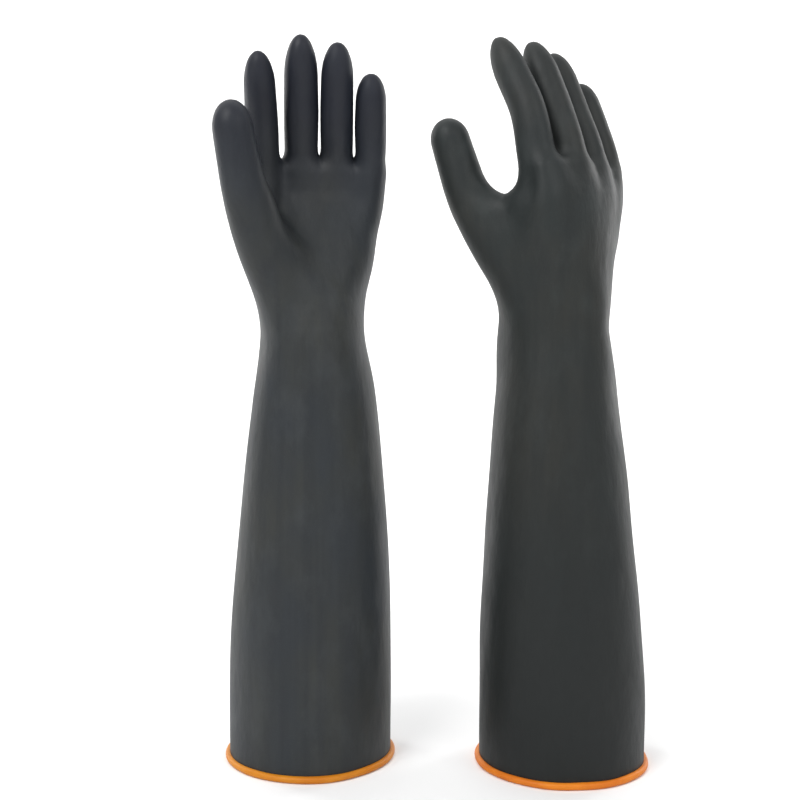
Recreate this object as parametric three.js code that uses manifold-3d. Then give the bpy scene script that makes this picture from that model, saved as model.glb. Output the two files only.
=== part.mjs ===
// A pair of long electrical insulating gloves, standing on their cuffs.
// Millimetres, +Z up. The origin is on the floor, under the middle of the pair's box.
// Each glove is two dipped rubber layers, a black skin and an orange lining, that end in a rolled cuff bead.
// Both layers are cut where the rubber bends, so that the wrist, each finger and the thumb can turn.

import * as THREE from 'three';
import { mergeVertices } from 'three/addons/utils/BufferGeometryUtils.js';
import Module from 'manifold-3d';

const wasm = await Module();
wasm.setup();

// ---- driving dimensions ----
const skinWall = 1.2;
const liningWall = 0.8;
const layerGap = 0.3;        // between the skin and the lining
const cutGap = 0.3;          // between two pieces that meet at a bend
const smallestStep = 0.06;   // finer steps in a cut surface are merged
const beadHeight = 5;        // the rolled edge stands on the floor
const beadInner = 58.6;
const beadOuter = 66.6;
const wristBend = [294, 372];      // heights between which the wrist bends
const fingerBend = [459, 493];     // heights between which the fingers bend
const thumbBendStart = 438;        // height on the thumb's centre line where its bend starts
const thumbBendLength = 30;
const fingersClearOfThumb = -45;   // every finger lies behind this y, and the thumb in front of it
const thumbTop = 495;              // the whole thumb lies below this height
const leftPlace = { x: -97, y: 7, turn: 4 };
const rightPlace = { x: 97, y: -7, turn: -129 };

// ---- shape of one glove ----
// Left hand, palm towards -Y, thumb towards -X. A station is [x, y, z, half width, half depth].
const sleeve = {
  stations: [
    [0, 0, -15, 62.5, 63.5],
    [0, 0, 20, 62.5, 63.5],
    [1, -1, 69, 62.4, 63],
    [2.3, -3.2, 128, 60.6, 59.6],
    [4, -7.2, 206, 54.9, 52.9],
    [4.7, -10.5, 284, 46.2, 45.6],
    [3.6, -11, 334, 38.8, 43],
    [4.5, -5.5, 357, 39.5, 37],
    [5, -1, 382, 45, 30],
    [4.5, 5, 410, 49.8, 24],
    [5.5, 9, 431, 52.3, 20],
    [6, 8, 446, 51.5, 17],
  ],
  tip: 11,
  around: 16,
  steps: 9,
};
const fingerOf = (around, steps, tip, stations) => ({ around, steps, tip, stations });
const fingers = {
  index: fingerOf(8, 4, 30, [
    [-27, 4, 410, 10, 11],
    [-32, -4, 450, 12, 14.6],
    [-33.4, -14, 492, 12.3, 13.4],
    [-34, -26, 514, 11.6, 12.8],
  ]),
  middle: fingerOf(8, 4, 32, [
    [-1, 8, 410, 11, 11.5],
    [-4, 6, 453, 12.3, 13.4],
    [-4, -9, 496, 13.1, 13.6],
    [-4, -18, 517, 12.6, 13.2],
  ]),
  ring: fingerOf(8, 4, 28, [
    [19, 8, 410, 11, 11.5],
    [22.2, 6.5, 453, 12, 13.2],
    [22.4, -10.5, 496, 12.5, 13.4],
    [22.6, -19, 515.5, 12.1, 13],
  ]),
  little: fingerOf(8, 4, 22, [
    [37, 7, 408, 10, 11],
    [47.4, 4.5, 451, 11.2, 12.8],
    [47.7, -7.5, 486, 12, 12.8],
    [47.7, -13, 500, 11.6, 12.3],
  ]),
};
const thumb = fingerOf(8, 5, 17, [
  [3, -11, 322, 15, 17],
  [-14.5, -25, 361, 19, 19.5],
  [-34.5, -41, 395, 17.5, 18],
  [-44, -58.5, 432, 16.4, 16.4],
  [-48.5, -65.5, 456, 15.2, 15.4],
  [-51.5, -69.5, 472, 14.5, 14.9],
]);
// The web of rubber between the thumb and the palm.
const web = fingerOf(8, 4, 12, [
  [-12, -15, 347, 13, 14],
  [-24, -22, 377, 15, 20],
  [-33.5, -26, 404, 12.5, 25.5],
  [-37, -25.5, 419, 10.5, 27],
]);
const slabs = { index: [-90, -18.9], middle: [-18.9, 9.5], ring: [9.5, 35.2], little: [35.2, 90] };

// ---- helpers ----
function toSolid(geometry) {
  const bare = geometry.clone();
  bare.deleteAttribute('normal');
  bare.deleteAttribute('uv');
  const merged = mergeVertices(bare, 1e-4);
  const mesh = new wasm.Mesh({
    numProp: 3,
    vertProperties: merged.attributes.position.array,
    triVerts: new Uint32Array(merged.index.array),
  });
  return new wasm.Manifold(mesh);
}

function toGeometry(solid) {
  const { vertProperties, triVerts } = solid.simplify(smallestStep).getMesh();
  const geometry = new THREE.BufferGeometry();
  geometry.setAttribute('position', new THREE.BufferAttribute(vertProperties, 3));
  geometry.setIndex(new THREE.BufferAttribute(triVerts, 1));
  return geometry;
}

function box(low, high) {
  const size = new THREE.Vector3(...high).sub(new THREE.Vector3(...low));
  const geometry = new THREE.BoxGeometry(size.x, size.y, size.z);
  geometry.translate(low[0] + size.x / 2, low[1] + size.y / 2, low[2] + size.z / 2);
  return toSolid(geometry);
}

// A round bar turned on the lathe, then bent along its stations, with a rounded far end.
// inset shrinks it, to make the inside of a layer.
function bentBar({ stations, tip, around, steps }, side, inset) {
  const centre = new THREE.CatmullRomCurve3(stations.map(([x, y, z]) => new THREE.Vector3(x * side, y, z)));
  const sizes = new THREE.CatmullRomCurve3(stations.map(([, , z, a, b]) => new THREE.Vector3(a, b, z)));
  const profile = [new THREE.Vector2(0, 0)];
  for (let i = 0; i <= steps; i++) profile.push(new THREE.Vector2(1, i / steps));
  for (const angle of [0.6, 1.15]) profile.push(new THREE.Vector2(Math.cos(angle), 1 + Math.sin(angle)));
  profile.push(new THREE.Vector2(0, 2));
  const geometry = new THREE.LatheGeometry(profile, around);
  const position = geometry.attributes.position;
  const widthAxis = new THREE.Vector3();
  const depthAxis = new THREE.Vector3();
  for (let i = 0; i < position.count; i++) {
    const along = position.getY(i);
    const t = Math.min(along, 1);
    const tangent = centre.getTangent(t);
    widthAxis.set(1, 0, 0).addScaledVector(tangent, -tangent.x).normalize();
    depthAxis.crossVectors(tangent, widthAxis);
    const size = sizes.getPoint(t);
    const point = centre.getPoint(t);
    point.addScaledVector(widthAxis, position.getX(i) * (size.x - inset));
    point.addScaledVector(depthAxis, -position.getZ(i) * (size.y - inset));
    point.addScaledVector(tangent, along === 0 ? inset : (along - t) * (tip - inset));
    position.setXYZ(i, point.x, point.y, point.z);
  }
  return toSolid(geometry);
}

// The whole hand-shaped form, shrunk by inset.
function form(side, inset) {
  const bars = [sleeve, web, thumb, ...Object.values(fingers)];
  return bars.map((bar) => bentBar(bar, side, inset)).reduce((sum, bar) => sum.add(bar));
}

// The thumb's bend starts on its centre line at thumbBendStart and runs along the thumb.
function thumbFrame(side) {
  const low = new THREE.Vector3(...thumb.stations[3].slice(0, 3));
  const high = new THREE.Vector3(...thumb.stations[5].slice(0, 3));
  const along = high.clone().sub(low).normalize();
  const start = low.clone().addScaledVector(along, (thumbBendStart - low.z) / along.z);
  start.x *= side;
  along.x *= side;
  return { start, along };
}

function thumbSlice(side, from, to) {
  const { start, along } = thumbFrame(side);
  const geometry = new THREE.BoxGeometry(90, 90, to - from);
  geometry.translate(0, 0, (from + to) / 2);
  const turn = new THREE.Quaternion().setFromUnitVectors(new THREE.Vector3(0, 0, 1), along);
  geometry.applyQuaternion(turn);
  geometry.translate(start.x, start.y, start.z);
  return toSolid(geometry).intersect(box([-150, -130, 400], [150, fingersClearOfThumb + 5, thumbTop]));
}

// ---- the pieces of one glove ----
const blackRubber = new THREE.MeshStandardMaterial({ color: 0x34383a, roughness: 0.55, metalness: 0 });
const orangeRubber = new THREE.MeshStandardMaterial({ color: 0xd8781c, roughness: 0.6, metalness: 0 });
const orangeBead = new THREE.MeshStandardMaterial({ color: 0xe8821c, roughness: 0.5, metalness: 0 });

function cuffBead() {
  const profile = [
    [beadInner + 2, 0],
    [beadOuter - 2, 0],
    [beadOuter, beadHeight / 2],
    [beadOuter - 2, beadHeight],
    [beadInner + 1, beadHeight],
    [beadInner, beadHeight / 2],
    [beadInner + 2, 0],
  ].map(([r, z]) => new THREE.Vector2(r, z));
  return new THREE.LatheGeometry(profile, 24).rotateX(Math.PI / 2);
}

// Cuts one hollow layer into the pieces between the bends.
function layerPieces(layer, side) {
  const far = 150;
  const half = cutGap / 2;
  const [wristLow, wristHigh] = wristBend;
  const [bendLow, bendHigh] = fingerBend;
  const pieces = {};
  pieces.gauntlet = layer.intersect(box([-far, -far, beadHeight + cutGap], [far, far, wristLow - half]));
  pieces.wrist = layer.intersect(box([-far, -far, wristLow + half], [far, far, wristHigh - half]));
  const allFingers = box([-far, fingersClearOfThumb, bendLow - half], [far, far, 600]);
  pieces.hand = layer
    .intersect(box([-far, -far, wristHigh + half], [far, far, 600]))
    .subtract(allFingers)
    .subtract(thumbSlice(side, -half, 90));
  for (const [name, [from, to]] of Object.entries(slabs)) {
    const [low, high] = side > 0 ? [from, to] : [-to, -from];
    const near = fingersClearOfThumb;
    pieces[`${name}_knuckle`] = layer.intersect(box([low, near, bendLow + half], [high, far, bendHigh - half]));
    pieces[`${name}_finger`] = layer.intersect(box([low, near, bendHigh + half], [high, far, 600]));
  }
  pieces.thumb_knuckle = layer.intersect(thumbSlice(side, half, thumbBendLength - half));
  pieces.thumb_tip = layer.intersect(thumbSlice(side, thumbBendLength + half, 90));
  return pieces;
}

function hollow(side, outerInset, wall) {
  return form(side, outerInset).subtract(form(side, outerInset + wall));
}

function glove(hand, side, place) {
  const group = new THREE.Group();
  const layers = {
    skin: [hollow(side, 0, skinWall), blackRubber],
    lining: [hollow(side, skinWall + layerGap, liningWall), orangeRubber],
  };
  for (const [layerName, [layer, material]] of Object.entries(layers)) {
    for (const [piece, solid] of Object.entries(layerPieces(layer, side))) {
      const mesh = new THREE.Mesh(toGeometry(solid), material);
      mesh.name = `${hand}_${piece}_${layerName}`;
      group.add(mesh);
    }
  }
  const bead = new THREE.Mesh(cuffBead(), orangeBead);
  bead.name = `${hand}_cuff_bead`;
  group.add(bead);
  group.rotation.z = THREE.MathUtils.degToRad(place.turn);
  group.position.set(place.x, place.y, 0);
  return group;
}

const pair = new THREE.Group();
pair.add(glove('left', 1, leftPlace));
pair.add(glove('right', -1, rightPlace));

// The origin goes under the middle of the pair's box.
const middle = new THREE.Box3().setFromObject(pair, true).getCenter(new THREE.Vector3());
for (const oneGlove of pair.children) {
  oneGlove.position.x -= middle.x;
  oneGlove.position.y -= middle.y;
}

export default pair;
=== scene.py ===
# Looks of a pair of long rubber insulating gloves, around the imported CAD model.
# A glove is shaped in millimetres as a left hand round its own origin: palm -Y, thumb -X, fingers +Z.
# The right hand is its mirror image. place() turns both into metres in the row frame.
import math

import bmesh
import bpy
import numpy as np
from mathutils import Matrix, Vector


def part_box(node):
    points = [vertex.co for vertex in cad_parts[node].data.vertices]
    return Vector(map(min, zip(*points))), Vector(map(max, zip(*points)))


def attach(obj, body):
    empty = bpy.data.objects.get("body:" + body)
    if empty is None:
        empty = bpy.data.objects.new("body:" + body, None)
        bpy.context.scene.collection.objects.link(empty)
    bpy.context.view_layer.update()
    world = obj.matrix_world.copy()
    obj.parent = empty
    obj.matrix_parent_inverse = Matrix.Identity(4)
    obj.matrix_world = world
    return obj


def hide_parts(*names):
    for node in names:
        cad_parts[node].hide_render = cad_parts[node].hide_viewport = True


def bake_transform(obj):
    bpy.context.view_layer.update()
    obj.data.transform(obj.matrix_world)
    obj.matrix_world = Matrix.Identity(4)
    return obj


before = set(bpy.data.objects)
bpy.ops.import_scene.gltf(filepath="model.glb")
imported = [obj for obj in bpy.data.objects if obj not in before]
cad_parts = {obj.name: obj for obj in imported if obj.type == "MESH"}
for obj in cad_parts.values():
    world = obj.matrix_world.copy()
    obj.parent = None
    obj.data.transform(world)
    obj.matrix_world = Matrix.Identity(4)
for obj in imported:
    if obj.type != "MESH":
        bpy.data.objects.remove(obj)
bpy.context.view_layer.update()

# ---- driving dimensions, in millimetres ----
CELL = 3.0                # size of the quads that the skin is made of
SKIN_WALL = 1.2
LAYER_GAP = 0.05          # keeps the two bonded layers from flickering through each other
LINING_WALL = 0.8
CUFF_END = 2.4            # both layers end inside the rolled bead
FINGER_CUT = 461.0        # a finger piece starts at this height
THUMB_CUT = 438.0         # height on the thumb's centre line where its piece starts
THUMB_SIDE = -45.0        # at finger height, the thumb lies in front of this y and the fingers behind it
THUMB_FRONT = -30.0       # the cut across the thumb reaches back to this y
THUMB_ABOVE = 415.0       # and no lower than this height
FINGER_GAPS = (-18.9, 9.5, 35.2)   # x of the middle of each gap between two fingers
GAP_STRETCH = 6.0         # how much wider a gap is made while the quads are laid out
PALM_ROUNDING = 21.0      # how softly the thumb and its web run into the palm
FINGER_ROUNDING = 10.0    # how softly a finger runs into the palm
WEB_ROUNDING = 28.0       # how softly the thumb's web runs up into the index finger
BEAD_WIDTH = 5.8
BEAD_HEIGHT = 5.2
GRID_LOW = (-96, -98, -4)     # the quads are laid out in this box
GRID_HIGH = (84, 78, 558)
WAVE_DEPTH = 0.19         # of each of the waves that make the rubber uneven
CUFF_SHADE_FADE = (40, 420)     # heights between which the painted shade towards the cuff fades out
FINGER_SHADE_FADE = (410, 500)  # heights between which the painted bluish shade on the fingers comes in
TURN = {"left": 4.0, "right": -129.0}   # degrees about Z
SIDE = {"left": 1.0, "right": -1.0}

# How much higher or lower a tip reaches than in the form that both hands share.
REACH = {
    ("left", "index"): -8.0,
    ("left", "thumb"): 5.0,
    ("right", "index"): 6.0,
}

# A station is x, y, z, half width, half depth on the centre line of a bar.
SLEEVE = [
    (0, 0, -15, 62.5, 63.5),
    (0, 0, 20, 62.5, 63.5),
    (1, -1, 69, 62.4, 63),
    (2.3, -3.2, 128, 60.6, 59.6),
    (4, -7.2, 206, 54.9, 52.9),
    (4.7, -10.5, 284, 46.2, 45.6),
    (3.6, -11, 334, 38.8, 43),
    (4.5, -5.5, 357, 39.5, 37),
    (5, -1, 382, 45, 30),
    (4.5, 5, 410, 49.8, 24),
    (5.5, 8, 431, 52.3, 18.6),
    (6, 5.5, 448.5, 51.3, 13.6),
]
WEB = [
    (-9, -15, 347, 12, 13.5),
    (-23.5, -22, 377, 15, 20),
    (-33, -26, 404, 12, 25.5),
    (-36.5, -25.5, 418, 10, 27),
]
THUMB = [
    (5, -11, 322, 14, 17),
    (-13.5, -24.5, 361, 17.8, 18.5),
    (-33.5, -40.5, 395, 16.4, 17),
    (-44, -58.5, 432, 16.4, 16.4),
    (-48.5, -65.5, 456, 15.2, 15.4),
    (-51.5, -69.5, 472, 14.4, 14.8),
]
# Each finger is the length of its rounded tip, and its stations.
FINGERS = {
    "index": (30, [
        (-27, 4, 410, 10, 11),
        (-32, -4, 450, 12, 14.6),
        (-33.4, -14, 492, 12.2, 13.4),
        (-34, -26, 514, 11.6, 12.8),
    ]),
    "middle": (32, [
        (-1, 8, 410, 11, 11.5),
        (-4, 6, 453, 12.3, 13.4),
        (-4, -9, 496, 13, 13.6),
        (-4, -18, 517, 12.6, 13.2),
    ]),
    "ring": (28, [
        (19, 8, 410, 11, 11.5),
        (22.2, 6.5, 453, 12, 13.2),
        (22.4, -10.5, 496, 12.4, 13.4),
        (22.6, -19, 515.5, 12.1, 13),
    ]),
    "little": (22, [
        (37, 7, 408, 10, 11),
        (47.4, 4.5, 451, 11.2, 12.8),
        (47.7, -7.5, 486, 12, 12.8),
        (47.7, -13, 500, 11.6, 12.3),
    ]),
}


# ---- shape of the rubber, as a distance field ----
def smooth_rows(stations, count):
    """The stations joined by a smooth curve and sampled at even steps along it."""
    rows = np.array(stations, float)
    knots = np.concatenate([[0], np.cumsum(np.linalg.norm(np.diff(rows[:, :3], axis=0), axis=1))])
    slopes = np.gradient(rows, knots, axis=0)
    at = np.linspace(0, knots[-1], count)
    i = np.clip(np.searchsorted(knots, at, side="right") - 1, 0, len(knots) - 2)
    span = (knots[i + 1] - knots[i])[:, None]
    t = ((at - knots[i])[:, None]) / span
    start = (1 + 2 * t) * (1 - t) ** 2 * rows[i] + t * (1 - t) ** 2 * span * slopes[i]
    end = t * t * (3 - 2 * t) * rows[i + 1] + t * t * (t - 1) * span * slopes[i + 1]
    return start + end


class Bar:
    """A tube of elliptic section along a smooth centre line, with rounded ends."""

    def __init__(self, stations, tip, count=49):
        rows = smooth_rows(stations, count)
        self.centre, self.size, self.tip = rows[:, :3], rows[:, 3:], tip
        tangent = np.gradient(self.centre, axis=0)
        self.step = np.linalg.norm(tangent, axis=1)
        self.tangent = tangent / self.step[:, None]
        across = np.array([1.0, 0, 0]) - self.tangent * self.tangent[:, :1]
        self.across = across / np.linalg.norm(across, axis=1)[:, None]
        self.depth = np.cross(self.tangent, self.across)

    def distance(self, points):
        """Distance from the tube's surface, negative inside."""
        last = len(self.centre) - 1
        squares = (self.centre ** 2).sum(1)
        nearest = np.argmin(squares - 2 * points @ self.centre.T, axis=1)
        slide = ((points - self.centre[nearest]) * self.tangent[nearest]).sum(1) / self.step[nearest]
        along = np.clip(nearest + slide, 0, last)
        low = np.minimum(along.astype(int), last - 1)
        part = (along - low)[:, None]

        def between(rows):
            return rows[low] * (1 - part) + rows[low + 1] * part

        away = points - between(self.centre)
        x = (away * between(self.across)).sum(1)
        y = (away * between(self.depth)).sum(1)
        z = np.where((along <= 0) | (along >= last), (away * between(self.tangent)).sum(1), 0)
        radii = np.column_stack([between(self.size), np.full(len(x), self.tip)])
        scaled = np.stack([x, y, z], 1) / radii
        reach = np.linalg.norm(scaled, axis=1)
        slope = np.linalg.norm(scaled / radii, axis=1)
        return reach * (reach - 1) / np.maximum(slope, 1e-6)


sleeve_bar = Bar(SLEEVE, 10, 97)
web_bar = Bar(WEB, 12)
thumb_bar = Bar(THUMB, 17)
finger_bars = {name: Bar(stations, tip) for name, (tip, stations) in FINGERS.items()}


def soft_min(a, b, width):
    """The smaller of two distances, with a fillet where they are nearly equal."""
    overlap = np.maximum(width - np.abs(a - b), 0) / width
    return np.minimum(a, b) - overlap ** 2 * width / 4


def rubber(points):
    """Distance from the outside of the glove, negative inside."""
    result = np.empty(len(points))
    for start in range(0, len(points), 40000):
        part = points[start:start + 40000]
        web = web_bar.distance(part)
        palm = soft_min(sleeve_bar.distance(part), web, PALM_ROUNDING)
        palm = soft_min(palm, thumb_bar.distance(part), PALM_ROUNDING)
        fingers = {name: bar.distance(part) for name, bar in finger_bars.items()}
        whole = soft_min(palm, np.min(list(fingers.values()), axis=0), FINGER_ROUNDING)
        crotch = soft_min(web, fingers["index"], WEB_ROUNDING)
        result[start:start + 40000] = np.minimum(whole, crotch)
    return result


def outward(points, step=0.15):
    """Unit normals of the field at the points."""
    corners = np.array([[1, -1, -1], [-1, -1, 1], [-1, 1, -1], [1, 1, 1]], float)
    slope = sum(corner * rubber(points + corner * step)[:, None] for corner in corners)
    return slope / np.maximum(np.linalg.norm(slope, axis=1), 1e-9)[:, None]


# ---- laying quads over the shape ----
def stretch_table():
    """x against widened x: the gaps between fingers are stretched so that no quad bridges one."""
    x = np.linspace(-120, 120, 4801)
    wide = x.copy()
    for gap in FINGER_GAPS:
        step = np.clip((x - gap) / 0.8 + 0.5, 0, 1)
        wide += GAP_STRETCH * (step * step * (3 - 2 * step) - 0.5)
    return x, wide


def unstretch(points):
    """Brings points from the widened layout back to the glove."""
    x, wide = stretch_table()
    share = np.clip((points[:, 2] - FINGER_CUT + 14) / 8, 0, 1)
    narrow = np.interp(points[:, 0], wide, x)
    result = points.copy()
    result[:, 0] = points[:, 0] * (1 - share) + narrow * share
    return result


def lay_quads(low, high):
    """Quads over the rubber: one vertex in each grid cell that the surface crosses."""
    axes = [np.arange(a, b + CELL, CELL) for a, b in zip(low, high)]
    shape = tuple(len(axis) for axis in axes)
    nodes = np.stack(np.meshgrid(*axes, indexing="ij"), -1).reshape(-1, 3)
    values = rubber(unstretch(nodes)).reshape(shape)
    nodes = nodes.reshape(shape + (3,))
    ids = np.arange(values.size).reshape(shape)
    strides = (shape[1] * shape[2], shape[2], 1)
    sums = np.zeros((values.size, 3))
    hits = np.zeros(values.size)
    quads = []
    for axis in range(3):
        second, third = (axis + 1) % 3, (axis + 2) % 3
        before = [slice(1, -1)] * 3
        after = [slice(1, -1)] * 3
        before[axis], after[axis] = slice(None, -1), slice(1, None)
        before, after = tuple(before), tuple(after)
        a, b = values[before], values[after]
        crossed = (a < 0) != (b < 0)
        share = (a[crossed] / (a[crossed] - b[crossed]))[:, None]
        crossing = nodes[before][crossed] * (1 - share) + nodes[after][crossed] * share
        cell = ids[before][crossed]
        ring = np.stack([cell, cell - strides[second],
                         cell - strides[second] - strides[third], cell - strides[third]], 1)
        for corner in ring.T:
            np.add.at(sums, corner, crossing)
            np.add.at(hits, corner, 1)
        facing_back = a[crossed] > 0
        ring[facing_back] = ring[facing_back][:, ::-1]
        quads.append(ring)
    quads = np.concatenate(quads)
    used = np.unique(quads)
    points = sums[used] / hits[used][:, None]
    return unstretch(points), np.searchsorted(used, quads)


def settle(points, rounds=3):
    """Moves the points onto the surface."""
    for _ in range(rounds):
        distance = rubber(points)
        points = points - np.clip(distance, -2, 2)[:, None] * outward(points)
    return points


def relax(points, quads, share=0.5):
    """Moves each point part of the way to the middle of its neighbours. Open edges stay."""
    edges = np.concatenate([quads[:, [i, (i + 1) % 4]] for i in range(4)])
    edges, uses = np.unique(np.sort(edges, 1), axis=0, return_counts=True)
    total = np.zeros_like(points)
    count = np.zeros(len(points))
    for a, b in (edges.T, edges.T[::-1]):
        np.add.at(total, a, points[b])
        np.add.at(count, a, 1)
    free = np.ones(len(points), bool)
    free[edges[uses == 1].ravel()] = False
    middle = total / count[:, None]
    return np.where(free[:, None], points * (1 - share) + middle * share, points)


def thumb_plane():
    """A point on the thumb's centre line where its piece starts, and the direction of the thumb."""
    row = np.argmin(np.abs(thumb_bar.centre[:, 2] - THUMB_CUT))
    return thumb_bar.centre[row], thumb_bar.tangent[row]


def by_thumb(point):
    return point[1] < THUMB_FRONT and point[2] > THUMB_ABOVE


def cut_pieces(points, quads):
    """The skin cut into the palm with its sleeve, four fingers and a thumb.

    The result is {name: (points, faces, normals)}.
    """
    mesh = bmesh.new()
    corners = [mesh.verts.new(point) for point in points]
    for quad in quads:
        mesh.faces.new([corners[i] for i in quad])
    thumb_start, thumb_way = thumb_plane()

    def slice_faces(faces, point, normal):
        around = {item for face in faces for item in (*face.verts, *face.edges, face)}
        bmesh.ops.bisect_plane(mesh, geom=list(around), plane_co=point, plane_no=normal, dist=1e-3)

    slice_faces(mesh.faces[:], (0, 0, CUFF_END), (0, 0, 1))
    behind_thumb = [face for face in mesh.faces if face.calc_center_median().y > THUMB_SIDE]
    slice_faces(behind_thumb, (0, 0, FINGER_CUT), (0, 0, 1))
    near_thumb = [face for face in mesh.faces if by_thumb(face.calc_center_median())]
    slice_faces(near_thumb, tuple(thumb_start), tuple(thumb_way))

    def owner(centre):
        if centre[2] < CUFF_END:
            return None
        if centre[1] > THUMB_SIDE and centre[2] > FINGER_CUT:
            return list(FINGERS)[int(np.searchsorted(FINGER_GAPS, centre[0]))]
        if centre[1] > THUMB_SIDE or not by_thumb(centre):
            return "palm"
        return "thumb" if (np.array(centre) - thumb_start) @ thumb_way > 0 else "palm"

    mesh.verts.index_update()
    mesh.normal_update()
    places = np.array([vert.co[:] for vert in mesh.verts])
    normals = np.array([vert.normal[:] for vert in mesh.verts])
    groups = {}
    for face in mesh.faces:
        name = owner(face.calc_center_median()[:])
        if name:
            groups.setdefault(name, []).append([vert.index for vert in face.verts])
    mesh.free()
    pieces = {}
    for name, faces in groups.items():
        used = sorted({i for face in faces for i in face})
        renumber = {old: new for new, old in enumerate(used)}
        pieces[name] = (places[used], [[renumber[i] for i in face] for face in faces], normals[used])
    return pieces


# ---- small unevenness that hand-dipped rubber has ----
def make_waves(seed, count=7):
    random = np.random.default_rng(seed)
    way = random.normal(size=(count, 3)) * np.array([1, 1, 0.45])
    length = random.uniform(38, 95, count)
    way *= (2 * math.pi / length / np.linalg.norm(way, axis=1))[:, None]
    return way, random.uniform(0, 2 * math.pi, count)


def unevenness(points, waves):
    """How far the rubber stands proud of the smooth form: most on the sleeve, less on the fingers."""
    way, phase = waves
    sleeve_share = np.clip((430 - points[:, 2]) / 120, 0.15, 1)
    return WAVE_DEPTH * sleeve_share * np.sin(points @ way.T + phase).sum(1)


# ---- meshes ----
def place(points, hand):
    """From the left-hand form in millimetres to the row frame in metres."""
    low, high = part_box(f"{hand}_cuff_bead")
    turn = math.radians(TURN[hand])
    x, y = points[:, 0] * SIDE[hand], points[:, 1]
    return np.stack([
        (x * math.cos(turn) - y * math.sin(turn)) / 1000 + (low[0] + high[0]) / 2,
        (x * math.sin(turn) + y * math.cos(turn)) / 1000 + (low[1] + high[1]) / 2,
        points[:, 2] / 1000,
    ], 1)


def turned(directions, hand):
    """Unit vectors of the left-hand form, in the row frame."""
    ahead = place(directions, hand) - place(np.zeros((1, 3)), hand)
    return ahead / np.maximum(np.linalg.norm(ahead, axis=1), 1e-12)[:, None]


def make_object(name, hand, points, faces, normals, material):
    """normals has a unit vector for each corner of each face, or is None to let Blender smooth the mesh."""
    if SIDE[hand] < 0:
        faces = [face[::-1] for face in faces]
        if normals is not None:
            normals = [corners[::-1] for corners in normals]
    mesh = bpy.data.meshes.new(name)
    mesh.from_pydata(place(points, hand).tolist(), [], faces)
    mesh.polygons.foreach_set("use_smooth", [True] * len(faces))
    rest = mesh.attributes.new("rest", "FLOAT_VECTOR", "POINT")
    rest.data.foreach_set("vector", (points * np.array([SIDE[hand], 1, 1])).astype(np.float32).ravel())
    if normals is not None:
        flat = np.array([vector for corners in normals for vector in corners])
        mesh.normals_split_custom_set(turned(flat, hand).tolist())
    mesh.materials.append(material)
    obj = bpy.data.objects.new(name, mesh)
    bpy.context.scene.collection.objects.link(obj)
    return obj


def shell(name, hand, points, faces, normals, outer, wall, material):
    """A closed shell: an outer sheet that far below the points, an inner sheet and a rim between them."""
    count = len(points)
    both = np.concatenate([points - normals * outer, points - normals * (outer + wall)])
    edges = {}
    for face in faces:
        for a, b in zip(face, face[1:] + face[:1]):
            edges[(a, b)] = True
    rim = [(a, b) for a, b in edges if (b, a) not in edges]
    all_faces = list(faces)
    corners = [[normals[i] for i in face] for face in faces]
    for face in faces:
        all_faces.append([i + count for i in face[::-1]])
        corners.append([-normals[i] for i in face[::-1]])
    for a, b in rim:
        square = [b, a, a + count, b + count]
        all_faces.append(square)
        one, two, three = (both[i] for i in square[:3])
        across = np.cross(two - one, three - two)
        corners.append([across / max(np.linalg.norm(across), 1e-9)] * 4)
    return make_object(name, hand, both, all_faces, corners, material)


def rolled_bead(hand, waves, material, around=180, profile=20):
    """The cuff's edge rolled outwards into a soft bead that stands on the floor."""
    random = np.random.default_rng(11 if hand == "left" else 12)
    lumps = [(k, random.uniform(0, 2 * math.pi), random.uniform(0.01, 0.03)) for k in (3, 5, 8, 13)]
    points = []
    for i in range(around):
        angle = 2 * math.pi * i / around
        ways = np.array([math.cos(angle), math.sin(angle)])
        foot = np.array([[SLEEVE[0][3] * ways[0], SLEEVE[0][4] * ways[1], CUFF_END]])
        radius = np.linalg.norm(foot[0, :2]) + unevenness(foot, waves)[0] + 0.5
        size = 1 + sum(depth * math.sin(k * angle + phase) for k, phase, depth in lumps)
        for j in range(profile):
            turn = 2 * math.pi * j / profile
            out = BEAD_WIDTH / 2 * size * math.copysign(abs(math.cos(turn)) ** 0.9, math.cos(turn))
            up = BEAD_HEIGHT / 2 * size * math.copysign(abs(math.sin(turn)) ** 0.9, math.sin(turn))
            height = max(BEAD_HEIGHT / 2 + up, 0.04)
            points.append((*(ways * (radius + out)), height))
    faces = []
    for i in range(around):
        for j in range(profile):
            k, m = (i + 1) % around, (j + 1) % profile
            faces.append([i * profile + j, k * profile + j, k * profile + m, i * profile + m])
    return make_object(f"{hand}_rolled_bead", hand, np.array(points), faces, None, material)


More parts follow.
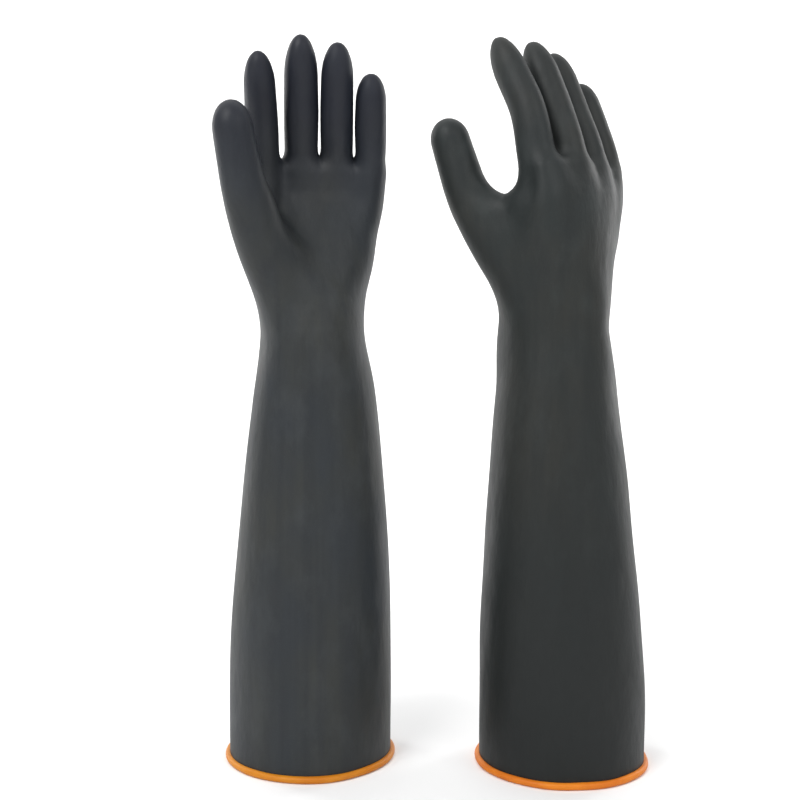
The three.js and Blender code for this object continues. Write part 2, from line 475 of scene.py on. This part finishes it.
# ---- materials ----
class Nodes:
    """A short way to write a material's nodes."""

    def __init__(self, name):
        self.material = bpy.data.materials.new(name)
        self.material.use_nodes = True
        self.tree = self.material.node_tree
        self.surface = self.tree.nodes["Principled BSDF"]
        rest = self.new("ShaderNodeAttribute")
        rest.attribute_name = "rest"
        self.rest = rest.outputs["Vector"]

    def new(self, kind, **links):
        node = self.tree.nodes.new(kind)
        for name, value in links.items():
            self.put(node, name.replace("_", " "), value)
        return node

    def put(self, node, socket, value):
        if hasattr(value, "is_output"):
            self.tree.links.new(value, node.inputs[socket])
        else:
            node.inputs[socket].default_value = value

    def noise(self, scale, detail=3.0, roughness=0.5):
        """Noise over the rest shape. scale is waves per millimetre along x, y and z."""
        stretched = self.new("ShaderNodeVectorMath", Vector=self.rest)
        stretched.operation = "MULTIPLY"
        stretched.inputs[1].default_value = scale
        return self.new("ShaderNodeTexNoise", Vector=stretched.outputs[0], Scale=1.0, Detail=detail,
                        Roughness=roughness).outputs["Fac"]

    def range(self, value, low, high, out_low, out_high):
        node = self.new("ShaderNodeMapRange", Value=value)
        ends = {"From Min": low, "From Max": high, "To Min": out_low, "To Max": out_high}
        for name, number in ends.items():
            node.inputs[name].default_value = number
        return node.outputs["Result"]

    def mix(self, share, first, second):
        node = self.tree.nodes.new("ShaderNodeMix")
        node.data_type = "RGBA"
        self.put(node, 0, share)
        self.put(node, 6, first)
        self.put(node, 7, second)
        return node.outputs[2]

    def bump(self, height, distance, below=None):
        node = self.new("ShaderNodeBump", Height=height, Distance=distance, Strength=1.0)
        if below is not None:
            self.put(node, "Normal", below)
        return node.outputs["Normal"]


def black_rubber(name, cool, warm, bloom, cuff_painted_shade, finger_painted_shade):
    """Matte charcoal rubber with soft clouds, faint lengthwise streaks, a talc bloom and a fine skin.

    The last two arguments say how strongly painted shade darkens the two ends of the glove, towards the
    cuff and bluish on the fingers, from 0 to 1.
    """
    n = Nodes(name)
    clouds = n.noise((0.016, 0.016, 0.010), 3)
    streaks = n.noise((0.11, 0.11, 0.006), 4)
    patches = n.noise((0.035, 0.035, 0.022), 5, 0.6)
    grain = n.noise((1.1, 1.1, 1.1), 3, 0.6)
    colour = n.mix(n.range(clouds, 0.38, 0.62, 0, 1), cool, warm)
    dark = tuple(0.74 * c for c in cool[:3]) + (1,)
    colour = n.mix(n.range(streaks, 0.42, 0.66, 0, 0.55), colour, dark)
    colour = n.mix(n.range(patches, 0.5, 0.74, 0, 0.42), colour, bloom)
    colour = n.mix(n.range(grain, 0.56, 0.78, 0, 0.22), colour, bloom)
    height = n.new("ShaderNodeSeparateXYZ", Vector=n.rest).outputs["Z"]
    # painted shade: the colour is darkened towards the cuff and fades out up the sleeve
    deep = tuple(0.5 * c for c in cool[:3]) + (1,)
    colour = n.mix(n.range(height, *CUFF_SHADE_FADE, cuff_painted_shade, 0), colour, deep)
    # painted bluish shade: the fingers are darkened and turned bluish
    finger_shade_colour = (0.45 * cool[0], 0.45 * cool[1], 0.75 * cool[2], 1)
    colour = n.mix(n.range(height, *FINGER_SHADE_FADE, 0, finger_painted_shade), colour, finger_shade_colour)
    n.put(n.surface, "Base Color", colour)
    n.put(n.surface, "Roughness", n.range(patches, 0.3, 0.7, 0.47, 0.6))
    n.put(n.surface, "Specular IOR Level", 0.3)
    soft = n.bump(n.noise((0.07, 0.07, 0.035), 3), 0.0009)
    n.put(n.surface, "Normal", n.bump(n.noise((1.6, 1.6, 1.6), 4, 0.65), 0.00005, soft))
    return n.material


def orange_rubber(name, base, deep, roughness):
    """Orange rubber, deeper in colour where it lies thicker, with small pits and scuffs."""
    n = Nodes(name)
    clouds = n.noise((0.05, 0.05, 0.09), 4)
    scuffs = n.noise((0.5, 0.5, 1.4), 4, 0.65)
    colour = n.mix(n.range(clouds, 0.4, 0.65, 0, 1), base, deep)
    dusty = tuple(0.55 * c for c in deep[:3]) + (1,)
    colour = n.mix(n.range(scuffs, 0.58, 0.76, 0, 0.35), colour, dusty)
    n.put(n.surface, "Base Color", colour)
    n.put(n.surface, "Roughness", n.range(scuffs, 0.35, 0.7, roughness - 0.06, roughness + 0.1))
    n.put(n.surface, "Specular IOR Level", 0.3)
    soft = n.bump(clouds, 0.0004)
    n.put(n.surface, "Normal", n.bump(n.noise((1.3, 1.3, 1.3), 3), 0.00006, soft))
    return n.material


def build_glove(hand, pieces, materials):
    black, lining, bead = materials
    waves = make_waves(3 if hand == "left" else 8)
    layers = {
        "skin": (0.0, SKIN_WALL, black, "skin_rubber"),
        "lining": (SKIN_WALL + LAYER_GAP, LINING_WALL, lining, "lining_rubber"),
    }
    for part, (points, faces, normals) in pieces.items():
        uneven = points + normals * unevenness(points, waves)[:, None]
        if (hand, part) in REACH:
            share = (points[:, 2] - FINGER_CUT) / (points[:, 2].max() - FINGER_CUT)
            uneven[:, 2] += REACH[hand, part] * np.clip(share, 0, 1)
        for layer, (outer, wall, material, slot_name) in layers.items():
            if part == "palm":
                shown, nodes = f"{hand}_sleeve_and_palm_{layer}", ["gauntlet", "wrist", "hand"]
            elif part == "thumb":
                shown, nodes = f"{hand}_thumb_{layer}", ["thumb_knuckle", "thumb_tip"]
            else:
                shown, nodes = f"{hand}_{part}_{layer}", [f"{part}_knuckle", f"{part}_finger"]
            piece = shell(shown, hand, uneven, faces, normals, outer, wall, material)
            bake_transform(piece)
            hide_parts(*[f"{hand}_{node}_{layer}" for node in nodes])
    bead_piece = rolled_bead(hand, waves, bead)
    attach(bead_piece, f"{hand}_gauntlet")
    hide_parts(f"{hand}_cuff_bead")


def glove_form():
    """The pieces of the left-hand form: {name: (points, faces, normals)}."""
    points, quads = lay_quads(GRID_LOW, GRID_HIGH)
    points = settle(points)
    for _ in range(2):
        points = settle(relax(points, quads), 2)
    return cut_pieces(relax(points, quads, 0.3), quads)


# ---- camera, light and floor ----
def make_camera():
    """Looks a little down at the pair, with both gloves and a margin in view."""
    distance, pitch, width = 1.0, math.radians(5), 0.608
    left, right = (np.mean(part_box(f"{hand}_cuff_bead"), axis=0) for hand in ("left", "right"))
    aside, height = 0.0269, 0.278
    target = np.array([(left[0] + right[0]) / 2 - aside, (left[1] + right[1]) / 2, height])
    data = bpy.data.cameras.new("camera")
    data.sensor_width = 36
    data.lens = data.sensor_width * distance / width
    camera = bpy.data.objects.new("camera", data)
    camera.location = target + distance * np.array([0, -math.cos(pitch), math.sin(pitch)])
    camera.rotation_euler = (math.pi / 2 - pitch, 0, 0)
    bpy.context.scene.collection.objects.link(camera)
    bpy.context.scene.camera = camera


def area_light(name, place_m, target_m, size, power):
    """A soft rectangular light at place_m that faces target_m."""
    data = bpy.data.lights.new(name, "AREA")
    data.shape = "RECTANGLE"
    data.size, data.size_y = size
    data.energy = power
    light = bpy.data.objects.new(name, data)
    light.location = place_m
    way = np.array(target_m, float) - np.array(place_m, float)
    tilt = math.acos(-way[2] / np.linalg.norm(way))
    light.rotation_euler = (tilt, 0, math.atan2(way[1], way[0]) - math.pi / 2)
    bpy.context.scene.collection.objects.link(light)


def make_floor():
    """A pale floor that curves up into a wall far behind the gloves."""
    front, bend_start, bend_radius, steps, top, half_width = -4, 0.6, 3.2, 24, 6, 6
    sweep = [(front, 0), (bend_start, 0)]
    for i in range(1, steps + 1):
        angle = math.pi / 2 * i / steps
        height = bend_radius - bend_radius * math.cos(angle)
        sweep.append((bend_start + bend_radius * math.sin(angle), height))
    sweep.append((bend_start + bend_radius, top))
    verts = [(side * half_width, y, z) for y, z in sweep for side in (-1, 1)]
    faces = [(2 * i, 2 * i + 1, 2 * i + 3, 2 * i + 2) for i in range(len(sweep) - 1)]
    mesh = bpy.data.meshes.new("floor")
    mesh.from_pydata(verts, [], faces)
    mesh.polygons.foreach_set("use_smooth", [True] * len(faces))
    floor = bpy.data.objects.new("floor", mesh)
    bpy.context.scene.collection.objects.link(floor)
    paint = bpy.data.materials.new("pale_floor")
    paint.use_nodes = True
    surface = paint.node_tree.nodes["Principled BSDF"]
    surface.inputs["Base Color"].default_value = (0.9, 0.9, 0.9, 1)
    surface.inputs["Roughness"].default_value = 0.9
    surface.inputs["Specular IOR Level"].default_value = 0.1
    mesh.materials.append(paint)


def make_light():
    """A bright room and soft lights."""
    world = bpy.data.worlds.new("room")
    world.use_nodes = True
    world.node_tree.nodes["Background"].inputs["Color"].default_value = (1, 1, 1, 1)
    world.node_tree.nodes["Background"].inputs["Strength"].default_value = 0.62
    bpy.context.scene.world = world
    middle = (0, 0, 0.3)
    area_light("key", (-1.1, -1.4, 2.0), middle, (1.2, 1.4), 36)
    area_light("fill", (1.3, -1.5, 1.6), middle, (1.0, 1.4), 13)
    area_light("edge_right", (1.3, 1.1, 0.8), middle, (0.4, 1.4), 8)
    area_light("edge_left", (-1.3, 1.0, 0.8), middle, (0.4, 1.4), 8)
    area_light("backdrop", (0, 1.2, 3.0), (0, 3.8, 0.9), (4, 1), 90)


bpy.context.scene.view_settings.view_transform = "Standard"
make_camera()
make_floor()
make_light()
form = glove_form()
lining_material = orange_rubber("lining_rubber", (0.60, 0.235, 0.035, 1), (0.50, 0.17, 0.022, 1), 0.62)
hands = {
    "left": (
        black_rubber("black_rubber_left", (0.019, 0.023, 0.027, 1), (0.025, 0.027, 0.025, 1),
                     (0.047, 0.052, 0.055, 1), cuff_painted_shade=0.0, finger_painted_shade=0.75),
        lining_material,
        orange_rubber("bead_rubber_left", (0.60, 0.215, 0.008, 1), (0.53, 0.165, 0.005, 1), 0.5),
    ),
    "right": (
        black_rubber("black_rubber_right", (0.0155, 0.0195, 0.0195, 1), (0.022, 0.023, 0.020, 1),
                     (0.041, 0.048, 0.047, 1), cuff_painted_shade=1.0, finger_painted_shade=0.15),
        lining_material,
        orange_rubber("bead_rubber_right", (0.70, 0.205, 0.010, 1), (0.62, 0.155, 0.006, 1), 0.5),
    ),
}
for hand, materials in hands.items():
    build_glove(hand, form, materials)
